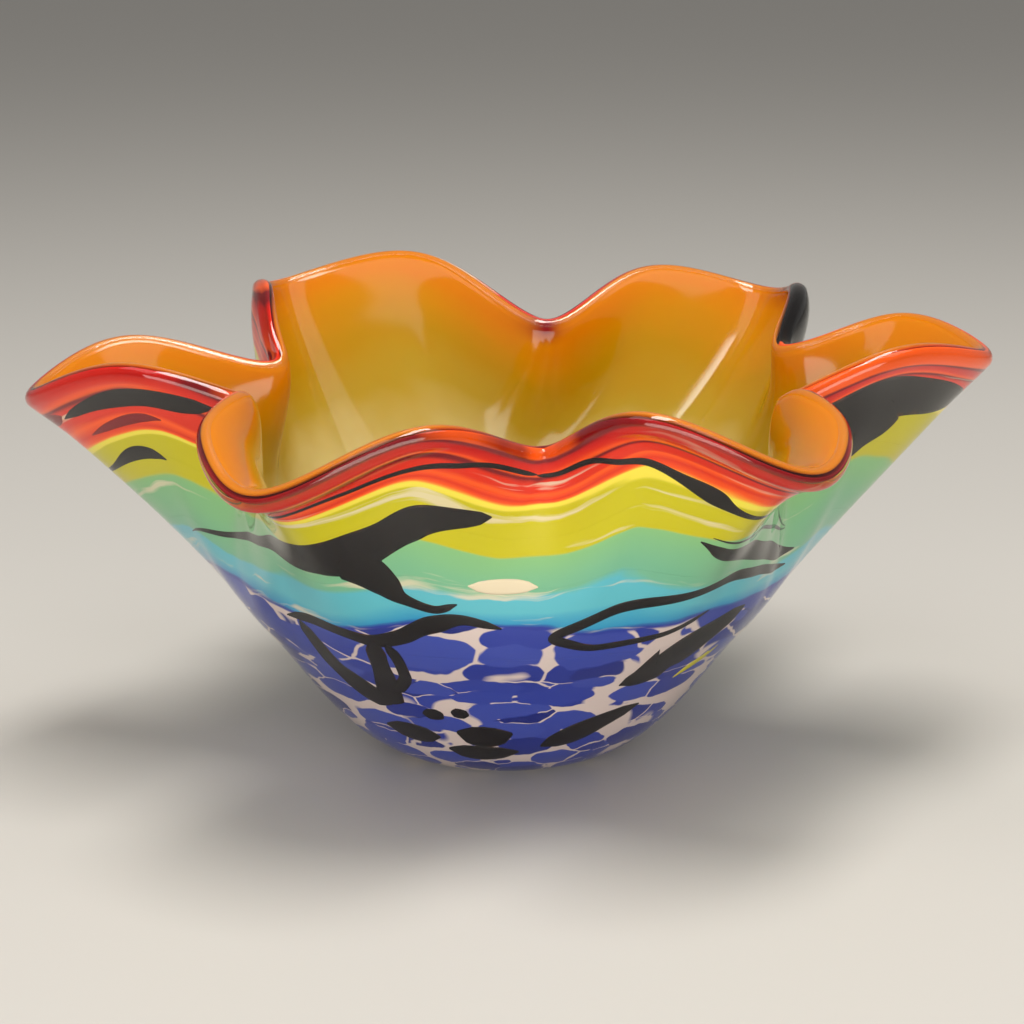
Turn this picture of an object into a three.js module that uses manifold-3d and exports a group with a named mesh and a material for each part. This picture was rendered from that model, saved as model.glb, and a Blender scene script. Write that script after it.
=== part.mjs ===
// Ruffled art glass bowl. The wall is blown from three layers: an amber lining, a layer of
// coloured glass laid on in bands with black trails and shards, and a clear casing that also
// wraps over the lip. The round body opens into a wall pulled out in six lobes, with a
// hairpin fold or a shallow pinch between each two.
//
// Millimetres, +Z up. The ground foot sits on z = 0 with the body's axis on Z, one lobe
// points along +X and the low front pinch is near -Y.
import * as THREE from "three";
import Module from "manifold-3d";

const wasm = await Module();
wasm.setup();
const { Manifold, Mesh } = wasm;

// ---- Wall, from the outside in ---------------------------------------------------------
const CASING = 2.0; // clear outer glass
const COLOUR = 0.8; // bands, trails and shards
const LINING = 2.0; // amber inner glass
const GAP = 0.3; // clearance between any two pieces
const LIP_GAP = 0.8; // clearance under the wrapped lip, where the wall twists most
const WALL = CASING + COLOUR + LINING + 2 * GAP;
const BASE_EXTRA = 4.0; // how much thicker the lining is over the foot
const LIP_BEAD = 0.3; // share by which the fire-polished lip is thicker than the wall
const BEAD_START = 1.75; // wall position where the bead starts to swell

// ---- Round body, measured on the middle of the wall ------------------------------------
const FOOT_RADIUS = 26; // ground face that the bowl stands on
const SHOULDER_RADIUS = 78; // where the ruffled wall starts
const SHOULDER_HEIGHT = 46;
const SHOULDER_SLOPE = 47; // degrees above level
const FOOT_ROUNDING = 24; // length of the curve's handle at the foot
const BODY_FULLNESS = 18; // length of its handle at the shoulder

// ---- Ruffled wall ----------------------------------------------------------------------
const LOBE_RADIUS = 160; // reach of a lobe's tip from the axis
const FLANK_RADIUS = 135; // the rim beside a tip
const FOLD_RADIUS = 100; // the rim inside a fold
const RIM_HEIGHT = 146; // middle of the lip at the highest crest
const WALL_LIFT = 45; // handle along the body's slope, which keeps the wall a cone
const LIP_FLARE = 22; // handle under the lip, where the wall turns to its flare

// Rim stations, anticlockwise from the lobe on +X: [azimuth, reach beyond the driving
// radius, drop below RIM_HEIGHT, flare from upright]. Each lobe has a tip and two flanks,
// and the two stations between lobes carry the turn of the fold.
const station = (radius) => ([azimuth, reach, drop, flare]) => ({
  azimuth,
  radius: radius + reach,
  height: RIM_HEIGHT - drop,
  flare,
});
const tip = station(LOBE_RADIUS);
const flank = station(FLANK_RADIUS);
const fold = station(FOLD_RADIUS);
const STATIONS = [
  tip([0, -1, 14, 40]), // right lobe, level and long
  flank([18, 9, 8, 45]),
  fold([24, 14, 19, 20]),
  fold([29.5, 10, 21, 0]),
  flank([39, 0, 5, -25]), // back right lobe
  tip([53, 5, 14, 35]),
  flank([68, 8, 4, 40]),
  fold([79, 6, 20, 15]), // back pinch
  fold([84, 3, 20, 15]),
  flank([104, 7, -1, 40]), // back left lobe, the tallest
  tip([124, -5, 11, 35]),
  flank([135, -13, 4, -25]),
  fold([143, 3, 15, 0]),
  fold([149, -8, 27, 20]),
  flank([160.5, 3.5, 15.5, 45]), // left lobe, its tip drooping
  tip([180, -3, 28, 50]),
  flank([199, -8, 10, 50]),
  fold([210, -5, 20, 20]),
  fold([215, 1, 17, 35]),
  flank([225, -8, 22, 75]), // front left lobe, rolled low
  tip([240, -15, 35, 82]),
  flank([260, 0, 12, 58]),
  fold([274, 4, 25, 25]), // front pinch
  fold([278, 3, 25, 25]),
  flank([287, 2, 8, 62]), // front right lobe, rolled low
  tip([306, -8, 29, 82]),
  flank([320, -2, 21, 75]),
  fold([328, 9, 16, 35]),
  fold([332, 0, 21, 20]),
  flank([342, -3, 5, 50]),
];

// ---- Mesh fineness ---------------------------------------------------------------------
const COLUMN_COUNT = 78; // columns round the rim, about evenly spaced
const BODY_ROWS = [0, 0.42, 0.74]; // wall position: 0 at the foot, 1 at the shoulder, 2 at the lip
const FLARE_ROW = 1.9; // a row where the lip's flare bends the wall most
const LIP_STEPS = 4;
const TRAIL_STEPS = 2; // steps between two points of a trail
const SPLINTER = 0.02; // faces narrower than this are merged after a cut

// ---- Colour layer ----------------------------------------------------------------------
// Bands by wall position, so a band follows the ruffle.
const BANDS = [
  ["cobalt_band", 0, 1.09, 0x2a3c9c],
  ["turquoise_band", 1.09, 1.38, 0x2f9fc0],
  ["sea_green_band", 1.38, 1.6, 0x6fb694],
  ["chartreuse_band", 1.6, 1.8, 0xcdc800],
  ["scarlet_band", 1.8, 2, 0xe8320a],
];

// Trails and shards: strokes of [rim position in stations, wall position, half-width in mm].
// They follow the wall when its sizes change. A piece with more than one stroke was trailed
// on in branches that fused.
const BLACK = 0x14100f;
const CREAM = 0xe6cfb4;
const TRAILS = [
  ["tail_shard", BLACK, [
    [[17.2, 1.425, 0.8], [18.2, 1.44, 1.2], [19, 1.45, 1.8], [19.6, 1.5, 3], [20.2, 1.53, 4.8],
      [20.8, 1.54, 4.6], [21.3, 1.59, 3.2], [21.75, 1.67, 1.2]],
    [[20.4, 1.51, 3.6], [20.6, 1.43, 3.6], [20.75, 1.35, 2.4], [21.1, 1.295, 1.5], [21.5, 1.28, 1.2]],
  ]],
  ["left_net_trail", BLACK, [
    [[18.5, 1.17, 1], [19.2, 1.18, 2], [19.8, 1.16, 2.4], [20.3, 1.14, 2.6], [20.8, 1.16, 2.6],
      [21.1, 1.19, 2], [21.4, 1.22, 1.5], [21.8, 1.25, 1.3], [22.4, 1.22, 1]],
    [[20.3, 1.14, 2.4], [20.15, 1.02, 2], [20, 0.83, 2], [19.9, 0.73, 1.6]],
  ]],
  ["left_drop_trail", BLACK, [[[18.9, 1.115, 1.1], [18.95, 0.98, 1.5], [19.15, 0.87, 1.3]]]],
  ["right_hook_trail", BLACK, [
    [[28.2, 1.28, 1], [27, 1.31, 1.5], [25.7, 1.32, 2], [24.6, 1.28, 2], [23.7, 1.22, 2.2],
      [23.3, 1.18, 2], [23.5, 1.145, 1.8], [24, 1.13, 1.6], [24.8, 1.14, 1.4], [25.7, 1.19, 1]],
  ]],
  ["right_leaf_shard", BLACK, [
    [[27, 1.17, 1.2], [26.4, 1.1, 3.6], [25.8, 1.03, 4.6], [25.3, 0.95, 3], [24.9, 0.89, 1]],
  ]],
  ["low_streak", BLACK, [[[25.8, 0.7, 1], [25, 0.62, 1.8], [24.2, 0.53, 2.2], [23.5, 0.46, 1.2]]]],
  ["flank_shard", BLACK, [
    [[24.7, 1.5, 1.2], [25.4, 1.46, 2.2], [26.2, 1.41, 3], [27.2, 1.375, 2.6], [28.2, 1.34, 1.2]],
  ]],
  ["right_rim_thread", BLACK, [
    [[22.8, 1.91, 0.8], [23.4, 1.89, 1], [23.7, 1.8, 1.2], [24.2, 1.74, 1.6], [24.6, 1.7, 2],
      [25, 1.67, 1.2], [25.4, 1.65, 0.8]],
  ]],
  ["left_rim_thread", BLACK, [
    [[18.6, 1.66, 0.8], [19.4, 1.74, 1.1], [19.9, 1.83, 1.2], [20.5, 1.87, 1.2], [21, 1.87, 1.2],
      [21.4, 1.9, 1.2], [21.8, 1.92, 1], [22.2, 1.91, 0.8]],
  ]],
  ["left_lobe_band", BLACK, [
    [[15.3, 1.86, 1], [15.6, 1.87, 2.4], [16, 1.88, 3.2], [16.5, 1.9, 2.4]],
  ]],
  ["left_lobe_eye", BLACK, [[[15.3, 1.6, 0.8], [15.7, 1.62, 2.2], [16.1, 1.59, 1]]]],
  ["right_lobe_shard", BLACK, [
    [[29.85, 1.76, 4], [29.4, 1.77, 6], [28.95, 1.76, 6.5], [28.6, 1.8, 4.5]],
  ]],
  ["left_lobe_garnet", 0x7c0a12, [[[15.4, 1.74, 1], [15.8, 1.75, 2], [16.2, 1.76, 1]]]],
  ["cream_spot", CREAM, [[[21.9, 1.37, 1], [22.35, 1.375, 2.4], [22.8, 1.37, 1]]]],
  ["yellow_streak", 0xd8cf10, [[[27.1, 1.02, 0.8], [26.75, 0.93, 1.5], [26.4, 0.85, 0.8]]]],
  ["foot_blot", BLACK, [[[21.4, 0.57, 1.6], [22.1, 0.56, 3.6], [22.8, 0.58, 1.4]]]],
  ["back_shard", BLACK, [
    [[6.4, 1.45, 1.2], [7, 1.47, 2.6], [7.6, 1.5, 3.4], [8.2, 1.52, 2.6], [8.8, 1.53, 1]],
    [[7.55, 1.49, 2.8], [7.6, 1.42, 2.6], [7.8, 1.36, 1.8], [8.2, 1.31, 1.2]],
  ]],
  ["back_left_trail", BLACK, [
    [[9.8, 1.18, 1], [10.6, 1.16, 2], [11.3, 1.14, 2.4], [12.1, 1.16, 2], [12.9, 1.21, 1]],
    [[11.3, 1.14, 2.2], [11.2, 1.0, 1.8], [10.9, 0.87, 1.4]],
  ]],
  ["back_right_trail", BLACK, [
    [[0.7, 1.2, 1], [1.7, 1.24, 1.5], [2.8, 1.24, 2], [3.9, 1.2, 2], [4.4, 1.15, 1.6]],
  ]],
  ["back_rim_thread", BLACK, [
    [[8.5, 1.87, 0.8], [8.9, 1.9, 1.2], [9.3, 1.9, 1.4], [9.7, 1.88, 1.1], [10, 1.86, 0.8]],
  ]],
];

// ---- Shape of the middle of the wall ---------------------------------------------------
const UP = new THREE.Vector3(0, 0, 1);
const rad = THREE.MathUtils.degToRad;
const STATION_ANGLE = 360 / STATIONS.length;

const polar = (azimuth, radius, z) =>
  new THREE.Vector3(radius * Math.cos(rad(azimuth)), radius * Math.sin(rad(azimuth)), z);

const rimCurve = new THREE.CatmullRomCurve3(
  STATIONS.map(({ azimuth, radius, height }) => polar(azimuth, radius, height)),
  true,
);

// Handle of a body curve at the shoulder, `length` along the slope there.
const alongSlope = (azimuth, length) =>
  polar(
    azimuth,
    SHOULDER_RADIUS + length * Math.cos(rad(SHOULDER_SLOPE)),
    SHOULDER_HEIGHT + length * Math.sin(rad(SHOULDER_SLOPE)),
  );

// Direction in which the wall leaves the lip at rim position s, counted in stations.
function lipDirection(s) {
  const count = STATIONS.length;
  const from = Math.floor(s) % count;
  const flare = THREE.MathUtils.lerp(
    STATIONS[from].flare,
    STATIONS[(from + 1) % count].flare,
    THREE.MathUtils.smoothstep(s - Math.floor(s), 0, 1),
  );
  const outward = rimCurve.getTangent((s / count) % 1).setZ(0).normalize().cross(UP);
  return UP.clone()
    .multiplyScalar(Math.cos(rad(flare)))
    .addScaledVector(outward, Math.sin(rad(flare)));
}

// The meridian at rim position s: one curve up the body and one up the ruffled wall.
function meridian(s) {
  const azimuth = s * STATION_ANGLE;
  const shoulder = alongSlope(azimuth, 0);
  const rim = rimCurve.getPoint((s / STATIONS.length) % 1);
  const body = new THREE.CubicBezierCurve3(
    polar(azimuth, FOOT_RADIUS, WALL / 2),
    polar(azimuth, FOOT_RADIUS + FOOT_ROUNDING, WALL / 2),
    alongSlope(azimuth, -BODY_FULLNESS),
    shoulder,
  );
  const wall = new THREE.CubicBezierCurve3(
    shoulder,
    alongSlope(azimuth, WALL_LIFT),
    rim.clone().addScaledVector(lipDirection(s), -LIP_FLARE),
    rim,
  );
  return (w) => (w <= 1 ? body.getPoint(w) : wall.getPoint(w - 1));
}

// Point, outward normal and the wall's directions at rim position s and wall position w.
// `across` is the change in place for one station and `up` for one unit of w.
function frameAt(s, w) {
  const step = 1e-3;
  const line = meridian(s);
  const [below, above] = [Math.max(w - step, 0), Math.min(w + step, 2)];
  const up = line(above).sub(line(below)).divideScalar(above - below);
  const across = meridian(s + step)(w)
    .sub(meridian(s - step + STATIONS.length)(w))
    .divideScalar(2 * step);
  return { point: line(w), across, up, normal: across.clone().cross(up).normalize() };
}

// Rim positions of the columns, closer together where a fold turns.
const columnSpacing = rimCurve.getLength() / COLUMN_COUNT;
const COLUMNS = STATIONS.flatMap((_, i) => {
  const [a, b] = [0, 1].map((k) => rimCurve.getPoint(((i + k) / STATIONS.length) % 1));
  const steps = Math.max(2, Math.round(a.distanceTo(b) / columnSpacing));
  return Array.from({ length: steps }, (_, k) => i + k / steps);
});
const ROWS = [...new Set([...BODY_ROWS, FLARE_ROW, ...BANDS.flatMap((b) => b.slice(1, 3))])]
  .sort((a, b) => a - b);
const FRAMES = new Map(ROWS.map((w) => [w, COLUMNS.map((s) => frameAt(s, w))]));

// Thickness at row w as a multiple of the plain wall's.
const swell = (w) => 1 + LIP_BEAD * THREE.MathUtils.smoothstep(w, BEAD_START, 2);

// One ring of points at row w, `depth` in from the outer face and `lift` further up the wall.
const ring = (w, depth, lift = 0) =>
  FRAMES.get(w).map(({ point, normal, up }) =>
    point
      .clone()
      .addScaledVector(normal, (WALL / 2 - depth) * swell(w))
      .addScaledVector(up, lift / up.length()));

// ---- Solids ----------------------------------------------------------------------------
// Skin over rings of points: `outside` rises up the wall and `inside` comes back down. A
// looped section joins the last ring to the first; an open one is closed by a fan over the
// ring at each end. Both sides split their quads along the same diagonal, so the faces of
// neighbouring layers stay parallel.
function skin(outside, inside, looped) {
  const rings = [...outside, ...inside];
  const count = COLUMNS.length;
  const points = rings.flat();
  const faces = [];
  const last = looped ? rings.length : rings.length - 1;
  for (let r = 0; r < last; r++)
    for (let c = 0; c < count; c++) {
      const [a, b] = [r * count + c, r * count + ((c + 1) % count)];
      const [d, e] = [a, b].map((i) => (i + count) % (rings.length * count));
      faces.push(...(r < outside.length ? [a, b, e, a, e, d] : [a, b, d, b, e, d]));
    }
  if (!looped)
    for (const [r, order] of [[0, -1], [rings.length - 1, 1]]) {
      const centre = points.length;
      points.push(new THREE.Vector3(0, 0, rings[r][0].z));
      for (let c = 0; c < count; c++) {
        const edge = [r * count + c, r * count + ((c + 1) % count)];
        faces.push(...(order > 0 ? edge : edge.reverse()), centre);
      }
    }
  return new Manifold(new Mesh({
    numProp: 3,
    vertProperties: Float32Array.from(points.flatMap((p) => p.toArray())),
    triVerts: Uint32Array.from(faces),
  }));
}

const rowsBetween = (from, to) => ROWS.filter((w) => w >= from && w <= to);
const downward = (rows) => [...rows].reverse();
const belowLip = (w) => (w === 2 ? -LIP_GAP : 0);

// Clear casing: the outer face, the rounded lip, its underside, then back down inside.
function clearCasing() {
  const lip = Array.from({ length: LIP_STEPS - 1 }, (_, i) => {
    const turn = ((i + 1) * Math.PI) / LIP_STEPS;
    return ring(2, (WALL / 2) * (1 - Math.cos(turn)), (WALL / 2) * swell(2) * Math.sin(turn));
  });
  return skin(
    [...ROWS.map((w) => ring(w, 0)), ...lip],
    [ring(2, WALL), ...downward(ROWS).map((w) => ring(w, CASING))],
    false,
  );
}

// Amber lining, thickest over the foot, its top edge held just under the wrapped lip.
function amberLining() {
  const outer = WALL - LINING;
  const thicker = (w) => BASE_EXTRA * Math.max(0, 1 - w) ** 2;
  return skin(
    ROWS.map((w) => ring(w, outer, belowLip(w))),
    downward(ROWS).map((w) => ring(w, WALL + thicker(w), belowLip(w))),
    false,
  );
}

// One closed hoop of the colour layer. It keeps half the clearance from each neighbour,
// and the lowest hoop closes over the foot.
function hoop(from, to) {
  const lift = (w) => belowLip(w) || ((w === from && w > 0) - (w === to)) * (GAP / 2);
  const outer = CASING + GAP;
  const rows = rowsBetween(from, to);
  return skin(
    rows.map((w) => ring(w, outer, lift(w))),
    downward(rows).map((w) => ring(w, outer + COLOUR, lift(w))),
    from > 0,
  );
}

// Outline of a stroke in wall positions, `extra` wider all round.
function strokeShape(stroke, extra) {
  const line = new THREE.CatmullRomCurve3(stroke.map((p) => new THREE.Vector3(...p)));
  const count = (stroke.length - 1) * TRAIL_STEPS;
  const sides = [[], []];
  for (let i = 0; i <= count; i++) {
    const p = line.getPoint(i / count);
    const wall = frameAt(p.x, p.y);
    const [perStation, perRise] = [wall.across.length(), wall.up.length()];
    const slope = line.getTangent(i / count);
    const along = new THREE.Vector2(slope.x * perStation, slope.y * perRise).normalize();
    const reach = i === 0 ? -extra : i === count ? extra : 0;
    for (const [k, side] of [[0, 1], [1, -1]]) {
      const wide = side * (p.z + extra);
      sides[k].push(new THREE.Vector2(
        p.x + (along.x * reach - along.y * wide) / perStation,
        p.y + (along.y * reach + along.x * wide) / perRise,
      ));
    }
  }
  return new THREE.Shape([...sides[1], ...sides[0].reverse()]);
}

// Block over a stroke that runs square through the wall and stands out on both sides.
function strokePrism(stroke, extra) {
  const depth = 2 * WALL;
  const block = new THREE.ExtrudeGeometry(strokeShape(stroke, extra), {
    depth,
    steps: 1,
    bevelEnabled: false,
  });
  block.deleteAttribute("uv");
  block.deleteAttribute("normal");
  const { position } = block.attributes;
  for (let i = 0; i < position.count; i++) {
    const { point, normal } = frameAt(position.getX(i), position.getY(i));
    point.addScaledVector(normal, position.getZ(i) - depth / 2);
    position.setXYZ(i, ...point);
  }
  const mesh = new Mesh({
    numProp: 3,
    vertProperties: Float32Array.from(position.array),
    triVerts: Uint32Array.from({ length: position.count }, (_, i) => i),
  });
  mesh.merge();
  return new Manifold(mesh);
}

const prismOf = (strokes, extra) => Manifold.union(strokes.map((s) => strokePrism(s, extra)));

// A cut can leave a splinter beside a trail: the piece is the largest body left.
const largest = (solid) =>
  solid
    .simplify(SPLINTER)
    .decompose()
    .reduce((best, body) => (body.volume() > best.volume() ? body : best));

// ---- The bowl --------------------------------------------------------------------------
function glass(name, solid, colour, extra = {}) {
  const { vertProperties, triVerts } = solid.getMesh();
  const geometry = new THREE.BufferGeometry()
    .setAttribute("position", new THREE.BufferAttribute(Float32Array.from(vertProperties), 3))
    .setIndex(new THREE.BufferAttribute(Uint32Array.from(triVerts), 1));
  geometry.computeVertexNormals();
  const material = new THREE.MeshStandardMaterial({
    color: colour,
    roughness: 0.06,
    metalness: 0,
    ...extra,
  });
  const mesh = new THREE.Mesh(geometry, material);
  mesh.name = name;
  return mesh;
}

const bowl = new THREE.Group();
bowl.name = "art_glass_bowl";
bowl.add(glass("clear_casing", clearCasing(), 0xf4f6f4, { transparent: true, opacity: 0.3 }));
bowl.add(glass("amber_lining", amberLining(), 0xdd8a10, { transparent: true, opacity: 0.9 }));

const colourLayer = hoop(0, 2);
const clearance = prismOf(TRAILS.flatMap(([, , strokes]) => strokes), GAP);
for (const [name, from, to, colour] of BANDS)
  bowl.add(glass(name, largest(hoop(from, to).subtract(clearance)), colour));
for (const [name, colour, strokes] of TRAILS)
  bowl.add(glass(name, largest(prismOf(strokes, 0).intersect(colourLayer)), colour));

export default bowl;
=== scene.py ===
"""Looks of a ruffled art glass bowl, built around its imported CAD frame.

The wall is made the way the real one is: an amber lining inside, a layer of coloured glass
chips with black trails laid over it, and a clear casing that wraps over the rounded lip.
"""
import logging
import math
from dataclasses import dataclass, field
from enum import Enum
from functools import lru_cache

import bpy
import numpy as np
from mathutils import Matrix, Vector


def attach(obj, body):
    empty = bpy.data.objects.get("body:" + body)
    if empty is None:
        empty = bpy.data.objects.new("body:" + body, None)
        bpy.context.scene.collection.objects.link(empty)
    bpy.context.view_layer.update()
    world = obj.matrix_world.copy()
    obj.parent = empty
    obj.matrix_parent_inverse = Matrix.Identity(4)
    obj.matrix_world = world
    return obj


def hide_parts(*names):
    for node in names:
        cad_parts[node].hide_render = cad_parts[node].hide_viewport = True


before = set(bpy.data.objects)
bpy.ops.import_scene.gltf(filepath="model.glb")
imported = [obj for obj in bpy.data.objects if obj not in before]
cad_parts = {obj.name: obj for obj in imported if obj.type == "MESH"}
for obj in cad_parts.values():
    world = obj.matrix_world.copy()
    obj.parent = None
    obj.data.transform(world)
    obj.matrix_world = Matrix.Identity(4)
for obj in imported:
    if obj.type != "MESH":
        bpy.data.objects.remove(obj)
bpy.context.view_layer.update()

LOG = logging.getLogger("bowl")
MM = 0.001
UP = np.array([0, 0, 1.0])
LIP_FINENESS = 800  # rows of the lip table for each rim station
Material = bpy.types.Material
Tree = bpy.types.NodeTree
Socket = bpy.types.NodeSocket


# ---- Helpers ----
def linear(hex_colour: str) -> tuple[float, float, float, float]:
    """Turn an sRGB hex colour into linear RGBA.

    Args:
        hex_colour: six hex digits, with or without a leading "#".

    Returns:
        Red, green, blue and alpha, each from 0 to 1.
    """
    digits = hex_colour.lstrip("#")
    values = [int(digits[i:i + 2], 16) / 255 for i in (0, 2, 4)]
    return (*(v / 12.92 if v <= 0.04045 else ((v + 0.055) / 1.055) ** 2.4 for v in values), 1.0)


def add_node(tree: Tree, kind: str, settings: dict | None = None,
             links: dict | None = None) -> bpy.types.Node:
    """Add one shader node.

    Args:
        tree: the material's node tree.
        kind: the node's type name after ShaderNode.
        settings: node properties by name, and socket values by socket name or index.
        links: output sockets to link in, by input socket name or index.

    Returns:
        The new node.
    """
    node = tree.nodes.new("ShaderNode" + kind)
    for name, value in (settings or {}).items():
        if isinstance(name, int) or name in node.inputs:
            node.inputs[name].default_value = value
        else:
            setattr(node, name, value)
    for name, output in (links or {}).items():
        tree.links.new(output, node.inputs[name])
    return node


def empty_material(name: str) -> tuple[Material, Tree]:
    """Start a node material.

    Args:
        name: the material's name.

    Returns:
        The material and its empty node tree.
    """
    material = bpy.data.materials.new(name)
    material.use_nodes = True
    material.node_tree.nodes.clear()
    return material, material.node_tree


def ramp_stops(node: bpy.types.Node, stops: list[tuple[float, str]]) -> None:
    """Set the stops of a colour ramp.

    Args:
        node: the ramp node.
        stops: position and hex colour of each stop.
    """
    elements = node.color_ramp.elements
    while len(elements) < len(stops):
        elements.new(1.0)
    for element, (place, colour) in zip(elements, stops):
        element.position, element.color = place, linear(colour)


def mesh_piece(name: str, points: np.ndarray, faces: list, material: Material,
               node: str, attributes: dict[str, np.ndarray]) -> bpy.types.Object:
    """Make a smooth mesh object that rides on the bowl and stands for a CAD node.

    Args:
        name: the piece's name.
        points: vertex places in millimetres.
        faces: vertex numbers of each face.
        material: its finish.
        node: the CAD node that it replaces.
        attributes: per-vertex floats, or colours as rows of four.

    Returns:
        The new object.
    """
    mesh = bpy.data.meshes.new(name)
    mesh.from_pydata((points * MM).tolist(), [], [list(map(int, f)) for f in faces])
    mesh.shade_smooth()
    for label, values in attributes.items():
        colour = values.ndim == 2
        layer = mesh.attributes.new(label, "FLOAT_COLOR" if colour else "FLOAT", "POINT")
        layer.data.foreach_set("color" if colour else "value", values.astype(np.float32).ravel())
    mesh.materials.append(material)
    piece = bpy.data.objects.new(name, mesh)
    bpy.context.scene.collection.objects.link(piece)
    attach(piece, "root")
    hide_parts(node)
    LOG.info("%s: %d vertices, %d faces", name, len(points), len(faces))
    return piece


# ---- Shape of the wall ----
def bezier(t: np.ndarray, a: np.ndarray, b: np.ndarray, c: np.ndarray,
           d: np.ndarray) -> np.ndarray:
    """Points on cubic curves from a to d, with handles at b and c, at shares t of the way."""
    return ((1 - t) ** 3 * a + 3 * (1 - t) ** 2 * t * b
            + 3 * (1 - t) * t * t * c + t ** 3 * d)


class Part(Enum):
    """Which driving radius a rim station is measured from."""

    TIP = 160.0
    FLANK = 135.0
    FOLD = 100.0


@dataclass(frozen=True)
class Station:
    """A point that the rim passes through: azimuth, reach beyond its part's driving radius,
    drop below the highest crest, and flare from upright (degrees and millimetres)."""

    part: Part
    azimuth: float
    reach: float
    drop: float
    flare: float


RIM = (
    Station(Part.TIP, 0, -1, 14, 40),
    Station(Part.FLANK, 18, 9, 8, 45),
    Station(Part.FOLD, 24, 14, 19, 20),
    Station(Part.FOLD, 29.5, 10, 21, 0),
    Station(Part.FLANK, 39, 0, 5, -25),
    Station(Part.TIP, 53, 5, 14, 35),
    Station(Part.FLANK, 68, 8, 4, 40),
    Station(Part.FOLD, 79, 6, 20, 15),
    Station(Part.FOLD, 84, 3, 20, 15),
    Station(Part.FLANK, 104, 7, -1, 40),
    Station(Part.TIP, 124, -5, 11, 35),
    Station(Part.FLANK, 135, -13, 4, -25),
    Station(Part.FOLD, 143, 3, 15, 0),
    Station(Part.FOLD, 149, -8, 27, 20),
    Station(Part.FLANK, 160.5, 3.5, 15.5, 45),
    Station(Part.TIP, 180, -3, 28, 50),
    Station(Part.FLANK, 199, -8, 10, 50),
    Station(Part.FOLD, 210, -5, 20, 20),
    Station(Part.FOLD, 215, 1, 17, 35),
    Station(Part.FLANK, 225, -8, 22, 75),
    Station(Part.TIP, 240, -15, 35, 82),
    Station(Part.FLANK, 260, 0, 12, 58),
    Station(Part.FOLD, 274, 4, 25, 25),
    Station(Part.FOLD, 278, 3, 25, 25),
    Station(Part.FLANK, 287, 2, 8, 62),
    Station(Part.TIP, 306, -8, 29, 82),
    Station(Part.FLANK, 320, -2, 21, 75),
    Station(Part.FOLD, 328, 9, 16, 35),
    Station(Part.FOLD, 332, 0, 21, 20),
    Station(Part.FLANK, 342, -3, 5, 50),
)


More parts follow.
